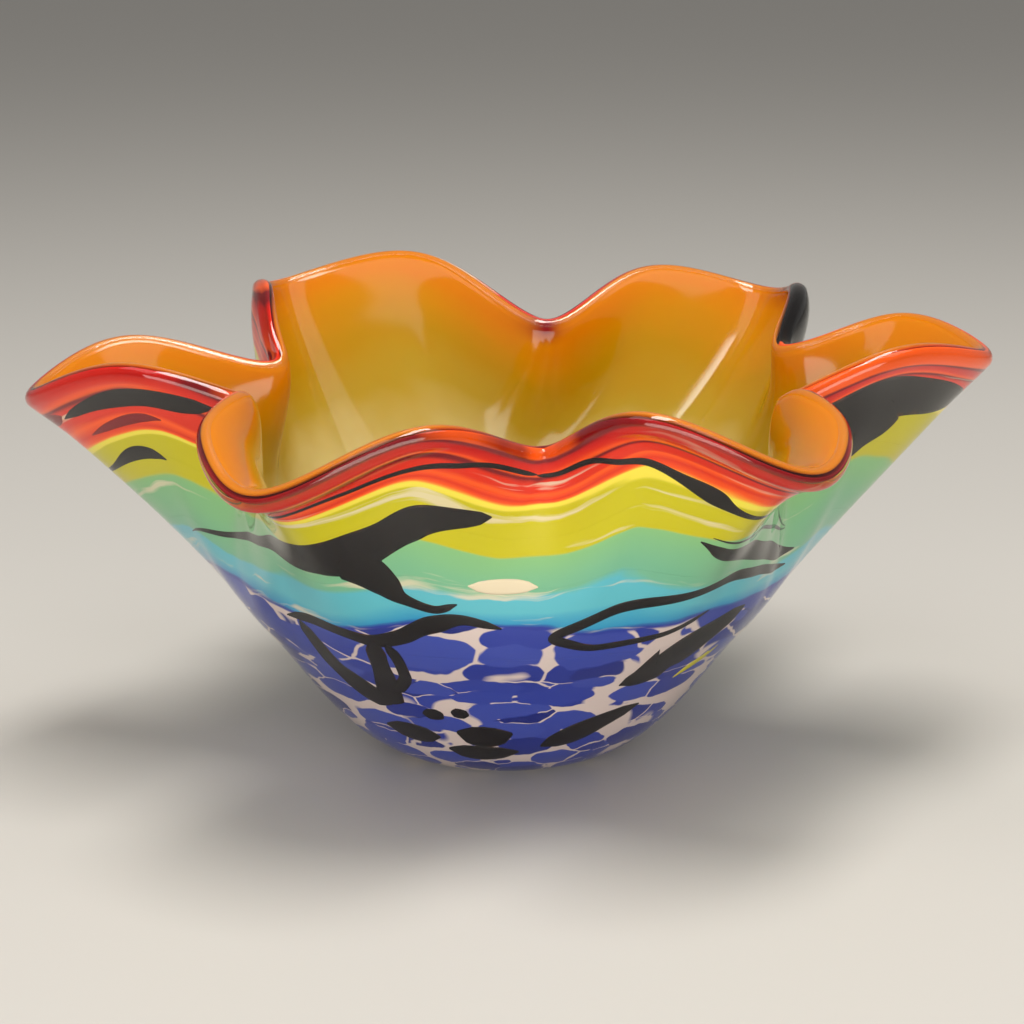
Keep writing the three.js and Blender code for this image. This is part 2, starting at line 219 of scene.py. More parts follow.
@dataclass(frozen=True)
class Wall:
    """The bowl's wall. A place on it is (turn, rise): rim stations counted round the foot, and
    0 at the foot, 1 at the shoulder, 2 at the lip. Depth is in from the outer face."""

    stations: tuple[Station, ...] = RIM
    casing: float = 2.0
    colour: float = 0.8
    lining: float = 2.0
    gap: float = 0.3
    lip_bead: float = 0.3
    bead_start: float = 1.75
    base_extra: float = 4.0
    rim_height: float = 146.0
    foot_radius: float = 26.0
    shoulder_radius: float = 78.0
    shoulder_height: float = 46.0
    shoulder_slope: float = 47.0
    foot_rounding: float = 24.0
    body_fullness: float = 18.0
    wall_lift: float = 45.0
    lip_flare: float = 22.0

    @property
    def thickness(self) -> float:
        """Whole wall from the outer to the inner face."""
        return self.casing + self.colour + self.lining + 2 * self.gap

    def swell(self, rise: np.ndarray | float) -> np.ndarray | float:
        """Thickness as a multiple of the plain wall's, more toward the fire-polished lip."""
        t = np.clip((rise - self.bead_start) / (2 - self.bead_start), 0, 1)
        return 1 + self.lip_bead * t * t * (3 - 2 * t)

    def knot_curve(self, s: np.ndarray) -> np.ndarray:
        """The lip as a closed centripetal Catmull-Rom curve through the stations.

        Args:
            s: rim positions, counted in stations.

        Returns:
            Rows of x, y, z in millimetres and flare in radians.
        """
        azimuth = np.radians([t.azimuth for t in self.stations])
        radius = np.array([t.part.value + t.reach for t in self.stations])
        height = np.array([self.rim_height - t.drop for t in self.stations])
        flare = np.radians([t.flare for t in self.stations])
        knots = np.stack([radius * np.cos(azimuth), radius * np.sin(azimuth), height], -1)
        count = len(knots)
        i = np.floor(s).astype(int)
        t = (s - i)[:, None]
        p0, p1, p2, p3 = (knots[(i + k) % count] for k in (-1, 0, 1, 2))
        d0, d1, d2 = (((b - a) ** 2).sum(-1, keepdims=True) ** 0.25
                      for a, b in ((p0, p1), (p1, p2), (p2, p3)))
        t1 = ((p1 - p0) / d0 - (p2 - p0) / (d0 + d1) + (p2 - p1) / d1) * d1
        t2 = ((p2 - p1) / d1 - (p3 - p1) / (d1 + d2) + (p3 - p2) / d2) * d1
        c2, c3 = 3 * (p2 - p1) - 2 * t1 - t2, 2 * (p1 - p2) + t1 + t2
        ease = t * t * (3 - 2 * t)
        lean = flare[i % count, None] * (1 - ease) + flare[(i + 1) % count, None] * ease
        return np.hstack([p1 + t * (t1 + t * (c2 + t * c3)), lean])

    def rim(self, s: np.ndarray) -> tuple[np.ndarray, np.ndarray]:
        """The middle of the lip, softened as hot glass is.

        Args:
            s: rim positions, counted in stations.

        Returns:
            Points, and unit directions in which the wall leaves them.
        """
        table = lip_table(self)
        place = (s % len(self.stations)) * LIP_FINENESS
        i, part = np.floor(place).astype(int), (place % 1)[:, None]
        row = table[i % len(table)] * (1 - part) + table[(i + 1) % len(table)] * part
        return row[:, :3], row[:, 3:]

    def middle(self, turn: np.ndarray, rise: np.ndarray) -> np.ndarray:
        """Points on the middle of the wall.

        Args:
            turn: rim stations round the foot.
            rise: wall positions from 0 to 2.

        Returns:
            One row of x, y, z for each place, in millimetres.
        """
        angle = 2 * np.pi * turn / len(self.stations)
        ray = np.stack([np.cos(angle), np.sin(angle), 0 * angle], -1)
        slope = math.radians(self.shoulder_slope)
        lean = ray * math.cos(slope) + UP * math.sin(slope)
        shoulder = ray * self.shoulder_radius + UP * self.shoulder_height
        foot = ray * self.foot_radius + UP * self.thickness / 2
        lip, leave = self.rim(turn)

        body = bezier(np.clip(rise, 0, 1)[:, None], foot, foot + ray * self.foot_rounding,
                      shoulder - lean * self.body_fullness, shoulder)
        wall = bezier(np.clip(rise - 1, 0, 1)[:, None], shoulder,
                      shoulder + lean * self.wall_lift, lip - leave * self.lip_flare, lip)
        return np.where((rise <= 1)[:, None], body, wall)

    def frame_at(self, turn: np.ndarray, rise: np.ndarray) -> tuple[np.ndarray, ...]:
        """Points on the middle of the wall with their local directions.

        Args:
            turn: rim stations round the foot.
            rise: wall positions from 0 to 2.

        Returns:
            Points, outward unit normals, and the changes in place for one station of turn
            and for one unit of rise.
        """
        step = 1e-3
        low, high = np.clip(rise - step, 0, 2), np.clip(rise + step, 0, 2)
        across = (self.middle(turn + step, rise) - self.middle(turn - step, rise)) / (2 * step)
        up = (self.middle(turn, high) - self.middle(turn, low)) / (high - low)[:, None]
        normal = np.cross(across, up)
        normal /= np.linalg.norm(normal, axis=1, keepdims=True)
        return self.middle(turn, rise), normal, across, up

    def at(self, turn: np.ndarray, rise: np.ndarray, depth: np.ndarray | float) -> np.ndarray:
        """Points at a depth in the wall.

        Args:
            turn: rim stations round the foot.
            rise: wall positions from 0 to 2.
            depth: millimetres in from the outer face.

        Returns:
            One row of x, y, z for each place.
        """
        point, normal, _, _ = self.frame_at(turn, rise)
        inward = (self.thickness / 2 - np.broadcast_to(depth, turn.shape)) * self.swell(rise)
        return point + normal * inward[:, None]


def skin(rings: list[np.ndarray], looped: bool) -> tuple[np.ndarray, list[tuple[int, ...]]]:
    """Join rings of points, each closed on itself, into one skin.

    Args:
        rings: the rings in order, rising on the outer side.
        looped: whether the last ring joins the first; if not, each end gets a fan.

    Returns:
        All points, and the faces.
    """
    count, levels = len(rings[0]), len(rings)
    points = np.concatenate(rings)
    around = np.arange(count)
    faces = []
    for level in range(levels if looped else levels - 1):
        a, b = level * count + around, level * count + (around + 1) % count
        c, d = (b + count) % len(points), (a + count) % len(points)
        faces += list(zip(a, b, c, d))
    if not looped:
        for level, turned in ((0, True), (levels - 1, False)):
            hub = len(points)
            points = np.vstack([points, rings[level].mean(0)])
            a, b = level * count + around, level * count + (around + 1) % count
            faces += list(zip(b, a, [hub] * count) if turned else zip(a, b, [hub] * count))
    return points, faces


@lru_cache(maxsize=2)
def lip_table(wall: Wall, soften: float = 0.2) -> np.ndarray:
    """The lip curve with its corners of curvature blurred out.

    Args:
        wall: the wall that the lip closes.
        soften: blur along the lip, in stations.

    Returns:
        Rows of x, y, z and the unit direction in which the wall leaves, evenly spaced.
    """
    count = len(wall.stations) * LIP_FINENESS
    sharp = wall.knot_curve(np.arange(count) / LIP_FINENESS)
    waves = np.fft.rfftfreq(count)
    blur = np.exp(-2 * (np.pi * soften * LIP_FINENESS * waves) ** 2)[:, None]
    soft = np.fft.irfft(np.fft.rfft(sharp, axis=0) * blur, count, axis=0)
    along = np.roll(soft[:, :2], -1, axis=0) - np.roll(soft[:, :2], 1, axis=0)
    along /= np.linalg.norm(along, axis=1, keepdims=True)
    lean = soft[:, 3:]
    outward = np.stack([along[:, 1], -along[:, 0], 0 * along[:, 0]], -1)
    return np.hstack([soft[:, :3], np.cos(lean) * UP + np.sin(lean) * outward])


# ---- Finishes ----
class Ink(Enum):
    """Glass colours, as sRGB hex."""

    COBALT = "26389C"
    NAVY = "182478"
    PERIWINKLE = "3C4CAA"
    CREAM = "D8C6C4"
    # pale opal, also used for the painted highlight streaks over the colour fields
    OPAL_AND_HIGHLIGHT = "E2D3B8"
    TURQUOISE = "2A92C4"
    SKY = "5CB8CA"
    SEA_GREEN = "72B494"
    MINT = "84BC7E"
    CHARTREUSE = "C4BA00"
    LEMON = "EEDC48"
    ORANGE = "FA5A08"
    SCARLET = "DE2802"
    RED = "C80C04"
    GARNET = "7A0612"
    BLACK = "120E10"
    BROWN = "4A2A14"
    AMBER = "C87204"
    GOLD = "BE7A04"
    HONEY = "AA7C06"
    OLIVE = "A88822"
    # pale flint: the well's own tint, lightened in part as a painted reflection of the room
    FLINT_AND_REFLECTION = "CCBC80"


@dataclass(frozen=True)
class ClearGlass:
    """Soda-lime casing, gathered over the colour and fire polished: gives the eye a wet gloss,
    bright edge lines on the lip and a little magnification of the pattern."""

    name: str = "clear_soda_lime_casing"
    ior: float = 1.5
    roughness: float = 0.012
    ripple_mm: float = 9.0

    def build(self) -> Material:
        """Make the material.

        Returns:
            Clear glass with a faint tool ripple, letting light through to what it covers.
        """
        material, tree = empty_material(self.name)
        place = add_node(tree, "TexCoord")
        waves = add_node(tree, "TexNoise", {"Scale": 1 / (self.ripple_mm * MM),
                         "Detail": 1.0}, {"Vector": place.outputs["Object"]})
        bump = add_node(tree, "Bump", {"Strength": 0.06, "Distance": 0.0006},
                        {"Height": waves.outputs["Fac"]})
        glass = add_node(tree, "BsdfGlass", {"Roughness": self.roughness,
                         "IOR": self.ior, "Color": linear("FDFDFB")},
                         {"Normal": bump.outputs["Normal"]})
        through = add_node(tree, "BsdfTransparent", {"Color": linear("FAFAF6")})
        path = add_node(tree, "LightPath")
        unlit = add_node(tree, "Math", {"operation": "MAXIMUM"},
                         {0: path.outputs["Is Shadow Ray"], 1: path.outputs["Is Diffuse Ray"]})
        mix = add_node(tree, "MixShader", links={0: unlit.outputs[0],
                       1: glass.outputs[0], 2: through.outputs[0]})
        add_node(tree, "OutputMaterial", links={"Surface": mix.outputs[0]})
        return material


@dataclass(frozen=True)
class ChipGlass:
    """Crushed coloured glass, rolled up on a cream gather and melted smooth: gives the eye
    overlapping ovals over cream low on the wall, and streaky fields of colour above, the
    pale streaks partly opal and partly painted highlight.
    `stir_mm` is how far melting bends the pattern, and `scatters` holds the shifts of the
    lower and the upper scatter of ovals, in chips."""

    name: str
    oval_mm: tuple[float, float] = (30.0, 12.0)
    stir_mm: tuple[float, float, float] = (10.0, 10.0, 6.0)
    scatters: tuple[float, float] = (11.2, 3.7)
    roughness: float = 0.25
    ramp: tuple[tuple[float, Ink], ...] = (
        (0.0, Ink.COBALT), (0.608, Ink.COBALT), (0.612, Ink.TURQUOISE), (0.64, Ink.SKY),
        (0.672, Ink.SKY), (0.68, Ink.SEA_GREEN), (0.765, Ink.MINT), (0.77, Ink.CHARTREUSE),
        (0.855, Ink.CHARTREUSE), (0.86, Ink.LEMON), (0.872, Ink.LEMON), (0.876, Ink.ORANGE),
        (0.89, Ink.SCARLET), (0.91, Ink.ORANGE), (0.918, Ink.SCARLET), (0.94, Ink.SCARLET),
        (0.944, Ink.GARNET), (0.95, Ink.GARNET), (0.954, Ink.ORANGE), (0.966, Ink.SCARLET),
        (0.984, Ink.RED), (0.988, Ink.GARNET), (0.993, Ink.GARNET), (0.996, Ink.ORANGE))

    def ovals(self, tree: Tree, place: Socket, offset: float) -> tuple[Socket, Socket]:
        """One scatter of melted chips.

        Args:
            tree: the material's node tree.
            place: place on the wall's drum, in millimetres.
            offset: shift of the scatter, in chips.

        Returns:
            1 on a chip and 0 between chips, and a random value for each chip.
        """
        sized = add_node(tree, "VectorMath", {"operation": "MULTIPLY_ADD",
                         1: (1 / self.oval_mm[0], 1 / self.oval_mm[0], 1 / self.oval_mm[1]),
                         2: (offset, offset * 0.37, offset)}, {0: place})
        cells = add_node(tree, "TexVoronoi", {"Scale": 1.0, "Randomness": 0.9},
                         {"Vector": sized.outputs[0]})
        on = add_node(tree, "MapRange", {"From Min": 0.60, "From Max": 0.58},
                      {"Value": cells.outputs["Distance"]})
        rims = add_node(tree, "TexVoronoi", {"feature": "DISTANCE_TO_EDGE",
                        "Scale": 1.0, "Randomness": 0.9}, {"Vector": sized.outputs[0]})
        apart = add_node(tree, "MapRange", {"From Min": 0.012, "From Max": 0.028},
                         {"Value": rims.outputs["Distance"]})
        chip = add_node(tree, "Math", {"operation": "MINIMUM"},
                        {0: on.outputs[0], 1: apart.outputs[0]})
        tone = add_node(tree, "SeparateColor", links={0: cells.outputs["Color"]})
        return chip.outputs[0], tone.outputs[0]

    def blues(self, tree: Tree, rise: Socket, place: Socket, bent: Socket) -> Socket:
        """Blue ovals over cream, fewer gaps between them near the shoulder.

        Args:
            tree: the material's node tree.
            rise: wall position.
            place: place on the wall's drum, in millimetres.
            bent: the same, stirred.

        Returns:
            The colour.
        """
        patch = add_node(tree, "TexNoise", {"Scale": 0.035, "Detail": 1.0}, {"Vector": place})
        solid = add_node(tree, "MapRange", {"From Min": 1.02, "From Max": 1.12,
                         "To Max": 0.3}, {"Value": rise})
        blotch = add_node(tree, "Math", {"operation": "ADD"},
                          {0: patch.outputs["Fac"], 1: solid.outputs[0]})
        filled = add_node(tree, "MapRange", {"From Min": 0.46, "From Max": 0.5},
                          {"Value": blotch.outputs[0]})
        layers = []
        for offset in self.scatters:
            chip, tone = self.ovals(tree, bent, offset)
            ramp = add_node(tree, "ValToRGB", links={0: tone})
            ramp_stops(ramp, [(0.0, Ink.NAVY.value), (0.3, Ink.COBALT.value),
                              (1.0, Ink.PERIWINKLE.value)])
            layers.append((chip, ramp.outputs["Color"]))
        (low, low_blue), (top, top_blue) = layers
        below = add_node(tree, "Math", {"operation": "MULTIPLY"}, {0: low, 1: filled.outputs[0]})
        under = add_node(tree, "Mix", {"data_type": "RGBA", 6: linear(Ink.CREAM.value)},
                         {0: below.outputs[0], 7: low_blue})
        over = add_node(tree, "Mix", {"data_type": "RGBA"},
                        {0: top, 6: under.outputs[2], 7: top_blue})
        return over.outputs[2]

    def fields(self, tree: Tree, rise: Socket, bent: Socket) -> tuple[Socket, Socket]:
        """Fields of colour above the shoulder, meeting in long tongues, with pale streaks that
        are partly opal and partly painted highlight.

        Args:
            tree: the material's node tree.
            rise: wall position.
            bent: place on the wall's drum, stirred.

        Returns:
            The colour, and 1 where it is seen and 0 below the shoulder.
        """
        long = add_node(tree, "VectorMath", {"operation": "MULTIPLY",
                        1: (0.011, 0.011, 0.045)}, {0: bent})
        tongue = add_node(tree, "TexNoise", {"Scale": 1.0, "Detail": 2.0,
                          "Roughness": 0.45}, {"Vector": long.outputs[0]})
        strayed = add_node(tree, "MapRange", {"From Min": 0.25, "From Max": 0.75,
                           "To Min": -0.032, "To Max": 0.032}, {"Value": tongue.outputs["Fac"]})
        half = add_node(tree, "Math", {"operation": "MULTIPLY_ADD", 1: 0.5},
                        {0: rise, 2: strayed.outputs[0]})
        above = add_node(tree, "MapRange", {"From Min": 0.600, "From Max": 0.604},
                         {"Value": half.outputs[0]})
        hue = add_node(tree, "ValToRGB", links={0: half.outputs[0]})
        ramp_stops(hue, [(place, ink.value) for place, ink in self.ramp])
        # pale streaks over the fields: partly opal glass, partly painted highlight streaks
        thin = add_node(tree, "VectorMath", {"operation": "MULTIPLY",
                        1: (0.016, 0.016, 0.17)}, {0: bent})
        streak = add_node(tree, "TexNoise", {"Scale": 1.0, "Detail": 4.0},
                          {"Vector": thin.outputs[0]})
        opal_and_highlight_streaks = add_node(tree, "MapRange", {"From Min": 0.61, "From Max": 0.68,
                        "To Max": 0.75}, {"Value": streak.outputs["Fac"]})
        field_colour = add_node(tree, "Mix", {"data_type": "RGBA",
                                7: linear(Ink.OPAL_AND_HIGHLIGHT.value)},
                                {0: opal_and_highlight_streaks.outputs[0], 6: hue.outputs["Color"]})
        return field_colour.outputs[2], above.outputs[0]

    def build(self) -> Material:
        """Make the material.

        Returns:
            Ovals of blue over cream below the shoulder, streaked fields above it, and black
            where the soot map says.
        """
        material, tree = empty_material(self.name)
        rise, sheet, soot = (add_node(tree, "Attribute", {"attribute_name": name})
                             for name in ("rise", "sheet", "soot"))
        place = sheet.outputs["Vector"]
        wander = add_node(tree, "TexNoise", {"Scale": 0.07, "Detail": 2.0}, {"Vector": place})
        centred = add_node(tree, "VectorMath", {"operation": "SUBTRACT", 1: (0.5, 0.5, 0.5)},
                           {0: wander.outputs["Color"]})
        bent = add_node(tree, "VectorMath", {"operation": "MULTIPLY_ADD", 1: self.stir_mm},
                        {0: centred.outputs[0], 2: place}).outputs[0]
        blue = self.blues(tree, rise.outputs["Fac"], place, bent)
        field_colour, above = self.fields(tree, rise.outputs["Fac"], bent)
        colour = add_node(tree, "Mix", {"data_type": "RGBA"}, {0: above, 6: blue, 7: field_colour})
        blot = add_node(tree, "MapRange", {"From Min": 0.42, "From Max": 0.48},
                        {"Value": soot.outputs["Fac"]})
        blotted = add_node(tree, "Mix", {"data_type": "RGBA",
                           7: linear(Ink.BLACK.value)}, {0: blot.outputs[0], 6: colour.outputs[2]})
        surface = add_node(tree, "BsdfPrincipled", {"Roughness": self.roughness,
                           "IOR": 1.5, "Specular IOR Level": 0.1},
                           {"Base Color": blotted.outputs[2]})
        add_node(tree, "OutputMaterial", links={"Surface": surface.outputs[0]})
        return material


@dataclass(frozen=True)
class TrailGlass:
    """Soft glass rod or shard, trailed on hot and melted in: gives the eye a flat dense line
    whose colour thins slightly toward its edges."""

    name: str
    ink: Ink
    edge: Ink
    roughness: float = 0.18

    def build(self) -> Material:
        """Make the material.

        Returns:
            Dense glass with a faint streak along it.
        """
        material, tree = empty_material(self.name)
        sheet = add_node(tree, "Attribute", {"attribute_name": "sheet"})
        side = add_node(tree, "Attribute", {"attribute_name": "side"})
        streak = add_node(tree, "TexNoise", {"Scale": 0.25, "Detail": 3.0},
                          {"Vector": sheet.outputs["Vector"]})
        blend = add_node(tree, "Math", {"operation": "MULTIPLY"},
                         {0: side.outputs["Fac"], 1: streak.outputs["Fac"]})
        ramp = add_node(tree, "ValToRGB", links={0: blend.outputs[0]})
        ramp_stops(ramp, [(0.0, self.ink.value), (0.5, self.ink.value), (0.72, self.edge.value)])
        surface = add_node(tree, "BsdfPrincipled", {"Roughness": self.roughness,
                           "IOR": 1.5, "Specular IOR Level": 0.1},
                           {"Base Color": ramp.outputs["Color"]})
        add_node(tree, "OutputMaterial", links={"Surface": surface.outputs[0]})
        return material


@dataclass(frozen=True)
class AmberGlass:
    """Amber inner gather, blown and fire polished: gives the eye a glowing orange near the lip
    that turns to honey and then pale olive in the well, the palest part partly a painted
    reflection of the room, under a soft gloss."""

    name: str = "amber_lining_glass"
    roughness: float = 0.1

    def build(self) -> Material:
        """Make the material.

        Returns:
            Glossy amber, its colour set by how far up the wall it is, and garnet where the
            smoke map says.
        """
        material, tree = empty_material(self.name)
        rise = add_node(tree, "Attribute", {"attribute_name": "rise"})
        sheet = add_node(tree, "Attribute", {"attribute_name": "sheet"})
        cloud = add_node(tree, "TexNoise", {"Scale": 0.03, "Detail": 3.0},
                         {"Vector": sheet.outputs["Vector"]})
        moved = add_node(tree, "MapRange", {"To Min": -0.09, "To Max": 0.09},
                         {"Value": cloud.outputs["Fac"]})
        half = add_node(tree, "Math", {"operation": "MULTIPLY_ADD", 1: 0.5},
                        {0: rise.outputs["Fac"], 2: moved.outputs[0]})
        hue = add_node(tree, "ValToRGB", links={0: half.outputs[0]})
        # low in the well the ramp runs to pale flint, partly the glass's tint and partly painted
        # reflection
        ramp_stops(hue, [(0.0, Ink.FLINT_AND_REFLECTION.value), (0.60, Ink.FLINT_AND_REFLECTION.value), (0.74, Ink.OLIVE.value),
                         (0.82, Ink.HONEY.value), (0.90, Ink.GOLD.value), (0.97, Ink.AMBER.value)])
        smoke = add_node(tree, "Attribute", {"attribute_name": "smoke"})
        toned = add_node(tree, "Mix", {"data_type": "RGBA", 7: linear(Ink.GARNET.value)},
                         {0: smoke.outputs["Fac"], 6: hue.outputs["Color"]})
        surface = add_node(tree, "BsdfPrincipled",
                           {"Roughness": self.roughness, "IOR": 1.5, "Specular IOR Level": 0.35,
                            "Subsurface Weight": 0.25, "Subsurface Scale": 0.006,
                            "Subsurface Radius": (1.0, 0.45, 0.1)},
                           {"Base Color": toned.outputs[2]})
        add_node(tree, "OutputMaterial", links={"Surface": surface.outputs[0]})
        return material


# ---- The bowl's pieces ----
@dataclass
class Shells:
    """The three full layers of the wall: casing, colour hoops and lining.

    `tuck` is how far the casing's inner face lies under the face of the colour, and `cap_inset`
    how far the lining's lip stops short of its inner face, in millimetres. `crest` takes the
    top hoop over the lip, as depth and height. `smoked` and `sooted` hold the rim station and
    half-width of each stain. `edge` is the wall position between a hoop's last two rings, which
    keeps its shading flat up to the edge. The columns are spaced by the lip's length, with
    `even_share` of the weight given to even turns."""

    wall: Wall
    columns: int = 840
    rise_steps: int = 150
    lip_steps: int = 14
    rings_per_rise: int = 70
    even_share: float = 0.3
    edge: float = 0.002
    tuck: float = 0.35
    cap_height: float = 2.6
    cap_inset: float = 0.2
    drum_radius: float = 95.0
    smoked: tuple[tuple[float, float], ...] = ((4.1, 0.6), (11.0, 0.7), (7.6, 0.4), (22.6, 0.35))
    sooted: tuple[tuple[float, float], ...] = ((3.6, 0.7),)
    crest: tuple[tuple[float, float], ...] = (
        (2.3, 0.6), (2.3, 1.2), (2.4, 1.8), (2.6, 2.3), (2.85, 2.6), (3.1, 2.7))
    bands: tuple[tuple[str, str, float, float], ...] = (
        ("cobalt_band", "cobalt_glass", 0.0, 1.09),
        ("turquoise_band", "turquoise_glass", 1.09, 1.38),
        ("sea_green_band", "sea_green_glass", 1.38, 1.6),
        ("chartreuse_band", "chartreuse_glass", 1.6, 1.8),
        ("scarlet_band", "scarlet_glass", 1.8, 2.0))
    turns: np.ndarray = field(init=False)

    def __post_init__(self) -> None:
        """Space the columns evenly along the lip."""
        count = len(self.wall.stations)
        fine = np.linspace(0, count, 6001)
        lip, _ = self.wall.rim(fine[:-1])
        reach = np.linalg.norm(np.diff(np.vstack([lip, lip[:1]]), axis=0), axis=1)
        weight = (1 - self.even_share) * reach / reach.sum() + self.even_share / len(reach)
        length = np.concatenate([[0], np.cumsum(weight)])
        self.turns = np.interp(np.linspace(0, 1, self.columns, endpoint=False), length, fine)

    def ring(self, rise: float, depth: float, lift: float = 0.0) -> np.ndarray:
        """One ring of points round the wall.

        Args:
            rise: wall position.
            depth: millimetres in from the outer face.
            lift: millimetres further up the wall.

        Returns:
            One row for each column.
        """
        point, normal, _, up = self.wall.frame_at(self.turns, np.full(self.columns, rise))
        up /= np.linalg.norm(up, axis=1, keepdims=True)
        reach = (self.wall.thickness / 2 - depth) * self.wall.swell(rise)
        return point + normal * reach + up * lift

    def maps(self, levels: list[float]) -> dict[str, np.ndarray]:
        """Attributes of rings at these wall positions.

        Args:
            levels: wall position of each ring, then -1 for each of the two hub points of a
                skin that isn't looped.

        Returns:
            The rise of each point, and its place on a drum of the wall's mean radius, in
            millimetres, where the pattern has no seam.
        """
        rings = [w for w in levels if w >= 0]
        hubs = len(levels) - len(rings)
        rise = np.repeat(rings, self.columns)
        angle = np.tile(self.turns, len(rings)) * 2 * np.pi / len(self.wall.stations)
        drum = self.drum_radius * np.stack([np.cos(angle), np.sin(angle), rise], -1)
        sheet = np.hstack([drum, np.ones((len(drum), 1))])
        return {"rise": np.pad(rise, (0, hubs)), "sheet": np.pad(sheet, ((0, hubs), (0, 0)))}

    def stain(self, maps: dict[str, np.ndarray], spots: tuple[tuple[float, float], ...],
              start: float, fade: float) -> np.ndarray:
        """Strength of a stain that lies near the lip.

        Args:
            maps: the piece's maps.
            spots: rim station and half-width of each spot.
            start: wall position where the stain starts.
            fade: how much further up it is full.

        Returns:
            One value for each point.
        """
        turn = np.resize(self.turns, len(maps["rise"]))
        spread = sum(np.exp(-((turn - centre) / width) ** 2) for centre, width in spots)
        return spread * np.clip((maps["rise"] - start) / fade, 0, 1)

    def casing(self) -> bpy.types.Object:
        """The clear glass: outer face, round lip, and an inner face just under the colour.

        Returns:
            The casing.
        """
        wall, half = self.wall, self.wall.thickness / 2
        rises = list(np.linspace(0, 2, self.rise_steps))
        outer = [self.ring(w, 0) for w in rises]
        crown = half * wall.swell(2)
        lip = [self.ring(2, half * (1 - math.cos(a)), crown * math.sin(a))
               for a in np.linspace(0, math.pi, self.lip_steps + 1)[1:]]
        inner = [self.ring(w, wall.casing + wall.gap + self.tuck) for w in rises[::-1]]
        levels = rises + [2.0] * len(lip) + rises[::-1]
        points, faces = skin(outer + lip + inner, False)
        return mesh_piece("casing_glass", points, faces, ClearGlass().build(), "clear_casing",
                          self.maps(levels + [-1.0, -1.0]))

    def lining(self) -> bpy.types.Object:
        """The amber glass inside, thickest over the foot.

        Returns:
            The lining.
        """
        wall = self.wall
        rises = list(np.linspace(0, 2, self.rise_steps))
        down = rises[-2::-1]
        outside = wall.thickness - wall.lining
        outer = [self.ring(w, outside) for w in rises]
        half = (wall.lining - self.cap_inset) / 2
        cap = [self.ring(2, outside + half * (1 - math.cos(a)), self.cap_height * math.sin(a))
               for a in np.linspace(0, math.pi, self.lip_steps + 1)]
        inner = [self.ring(w, wall.thickness + wall.base_extra * max(0.0, 1 - w) ** 2)
                 for w in down]
        points, faces = skin(outer + cap + inner, False)
        maps = self.maps(rises + [2.0] * len(cap) + down + [-1.0, -1.0])
        maps["smoke"] = self.stain(maps, self.smoked, 1.9, 0.08)
        return mesh_piece("lining_glass", points, faces, AmberGlass().build(), "amber_lining",
                          maps)

    def colour(self) -> list[bpy.types.Object]:
        """The hoops of coloured chips.

        Returns:
            One object for each hoop, from the foot up.
        """
        wall, made = self.wall, []
        outside = wall.casing + wall.gap
        for node, slot, low, high in self.bands:
            between = list(np.linspace(low, high, int((high - low) * self.rings_per_rise)))[1:-1]
            rises = [low, low + self.edge, *between, high - self.edge, high]
            outer = [self.ring(w, outside) for w in rises]
            inner = [self.ring(w, outside + wall.colour) for w in rises[::-1]]
            crest = [self.ring(2, depth, lift) for depth, lift in self.crest] if high == 2 else []
            points, faces = skin(outer + crest + inner, low > 0)
            levels = rises + [2.0] * len(crest) + rises[::-1] + ([] if low > 0 else [-1.0, -1.0])
            maps = self.maps(levels)
            maps["soot"] = self.stain(maps, self.sooted, 1.8, 0.04)
            made.append(mesh_piece(node.replace("band", "chips"), points, faces,
                                   ChipGlass(slot + "_chips").build(), node, maps))
        return made


@dataclass(frozen=True)
class Trail:
    """A stroke of glass over the chips: places as (turn, rise, half-width in mm)."""

    node: str
    slot: str
    strokes: tuple[tuple[tuple[float, float, float], ...], ...]


